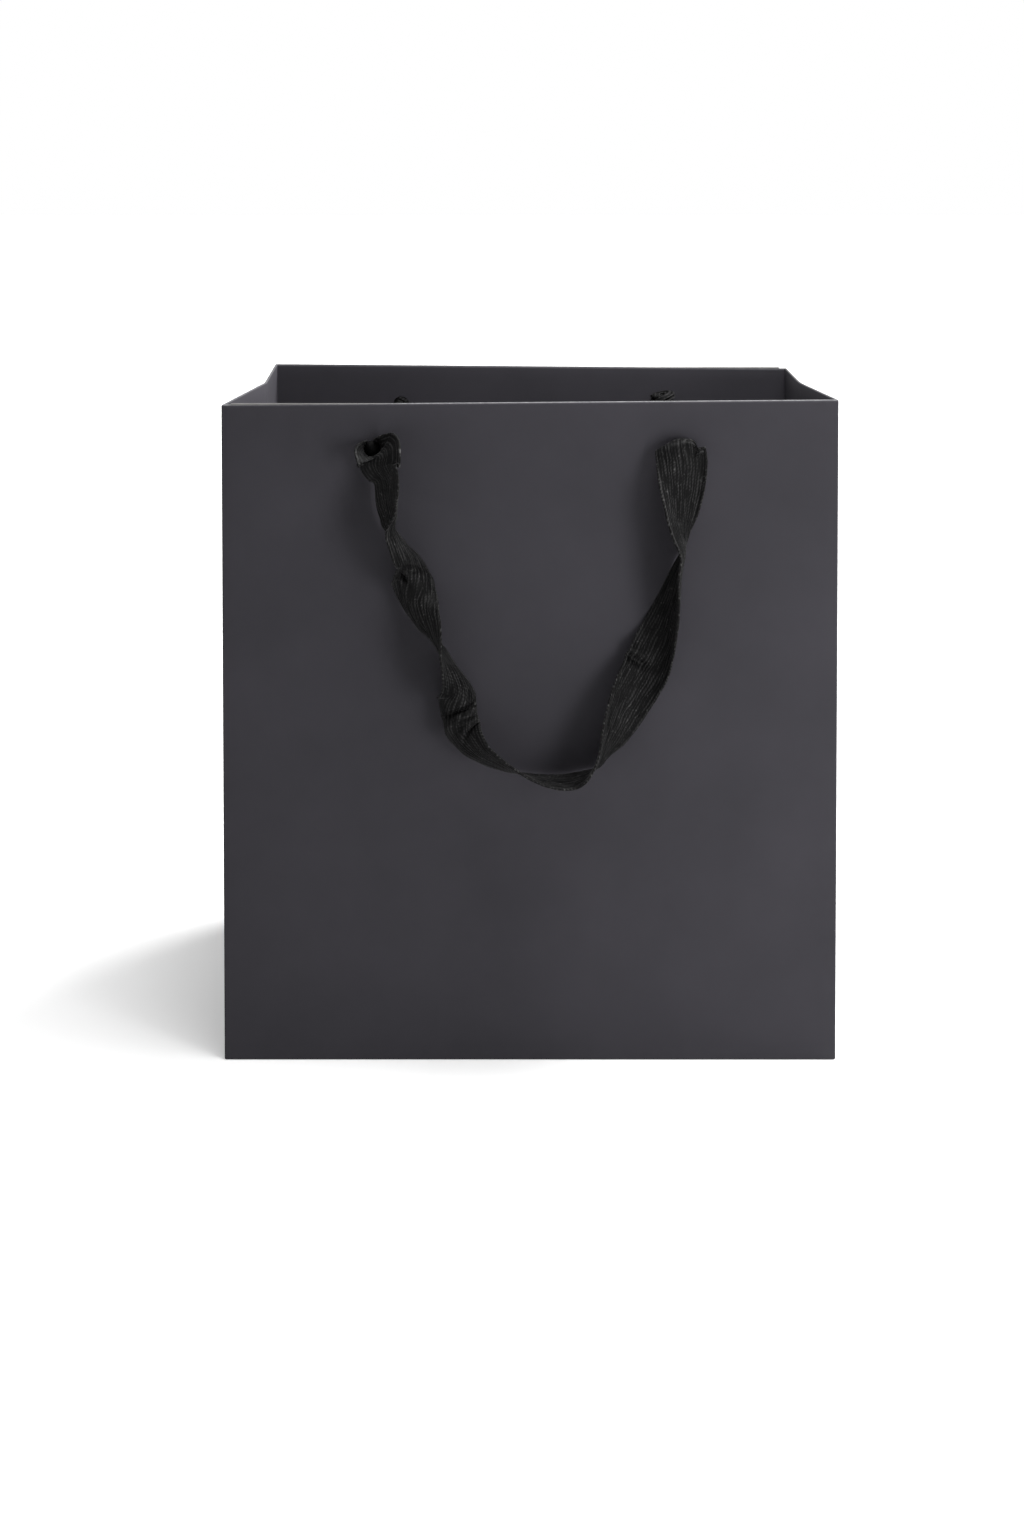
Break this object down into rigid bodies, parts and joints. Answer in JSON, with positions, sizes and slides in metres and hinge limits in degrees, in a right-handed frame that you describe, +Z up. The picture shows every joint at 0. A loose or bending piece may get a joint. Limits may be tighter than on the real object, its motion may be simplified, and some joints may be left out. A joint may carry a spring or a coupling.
{
  "type": "paper gift bag",
  "caption": "Open-top charcoal paper gift bag with tucked side gussets, card-stiffened hem, loose base board and woven ribbon handles that hang and swing up to carry.",
  "frame": {"origin": "middle of the base, on the surface the bag stands on", "axes": "+Z up, the front panel faces -Y, +X to the right of someone facing the front"},
  "size_m": [0.19, 0.1544, 0.205],
  "materials": {
    "bag_paper": "matte laminated",
    "grey_board": "uncoated",
    "ribbon": "woven"
  },
  "bodies": {
    "bag": {"back_handle_knot_left": "ribbon", "back_handle_knot_right": "ribbon", "back_hem": "bag_paper", "back_panel": "bag_paper", "back_top_card": "grey_board", "bottom_flap_back": "bag_paper", "bottom_flap_front": "bag_paper", "bottom_flap_left": "bag_paper", "bottom_flap_right": "bag_paper", "front_handle_knot_left": "ribbon", "front_handle_knot_right": "ribbon", "front_hem": "bag_paper", "front_panel": "bag_paper", "front_top_card": "grey_board"},
    "left_gusset_front": {"left_gusset_front": "bag_paper", "left_gusset_front_hem": "bag_paper"},
    "left_gusset_back": {"left_gusset_back": "bag_paper", "left_gusset_back_hem": "bag_paper"},
    "left_gusset_base": {"left_gusset_base": "bag_paper"},
    "right_gusset_front": {"right_gusset_front": "bag_paper", "right_gusset_front_hem": "bag_paper"},
    "right_gusset_back": {"right_gusset_back": "bag_paper", "right_gusset_back_hem": "bag_paper", "side_seam_tab": "bag_paper"},
    "right_gusset_base": {"right_gusset_base": "bag_paper"},
    "base_board": {"base_board": "grey_board"},
    "front_handle": {"front_handle_loop": "ribbon"},
    "back_handle": {"back_handle_loop": "ribbon"}
  },
  "joints": [
    {"name": "left_gusset_fold", "type": "hinge", "parent": "bag", "child": "left_gusset_front", "pos_m": [-0.095, -0.0593, 0.1], "axis": [0, 0, -1], "range_deg": [-3, 7]},
    {"name": "left_gusset_back_fold", "type": "hinge", "parent": "bag", "child": "left_gusset_back", "pos_m": [-0.095, 0.0593, 0.1], "axis": [0, 0, 1], "range_deg": [-3, 7]},
    {"name": "left_gusset_base_fold", "type": "hinge", "parent": "bag", "child": "left_gusset_base", "pos_m": [-0.095, 0, 0.0015], "axis": [0, 1, 0], "range_deg": [-3, 7]},
    {"name": "right_gusset_fold", "type": "hinge", "parent": "bag", "child": "right_gusset_front", "pos_m": [0.095, -0.0593, 0.1], "axis": [0, 0, 1], "range_deg": [-3, 7]},
    {"name": "right_gusset_back_fold", "type": "hinge", "parent": "bag", "child": "right_gusset_back", "pos_m": [0.095, 0.0593, 0.1], "axis": [0, 0, -1], "range_deg": [-3, 7]},
    {"name": "right_gusset_base_fold", "type": "hinge", "parent": "bag", "child": "right_gusset_base", "pos_m": [0.095, 0, 0.0015], "axis": [0, -1, 0], "range_deg": [-3, 7]},
    {"name": "base_board_tilt", "type": "hinge", "parent": "bag", "child": "base_board", "pos_m": [0.09, 0, 0.0015], "axis": [0, 1, 0], "range_deg": [0, 65]},
    {"name": "front_handle_swing", "type": "hinge", "parent": "bag", "child": "front_handle", "pos_m": [0, -0.065, 0.1905], "axis": [-1, 0, 0], "range_deg": [0, 160]},
    {"name": "back_handle_swing", "type": "hinge", "parent": "bag", "child": "back_handle", "pos_m": [0, 0.065, 0.1905], "axis": [1, 0, 0], "range_deg": [0, 160]}
  ],
  "couplings": [
    {"joint": "left_gusset_back_fold", "follows": "left_gusset_fold", "ratio": 1},
    {"joint": "left_gusset_base_fold", "follows": "left_gusset_fold", "ratio": 1},
    {"joint": "right_gusset_back_fold", "follows": "right_gusset_fold", "ratio": 1},
    {"joint": "right_gusset_base_fold", "follows": "right_gusset_fold", "ratio": 1}
  ]
}
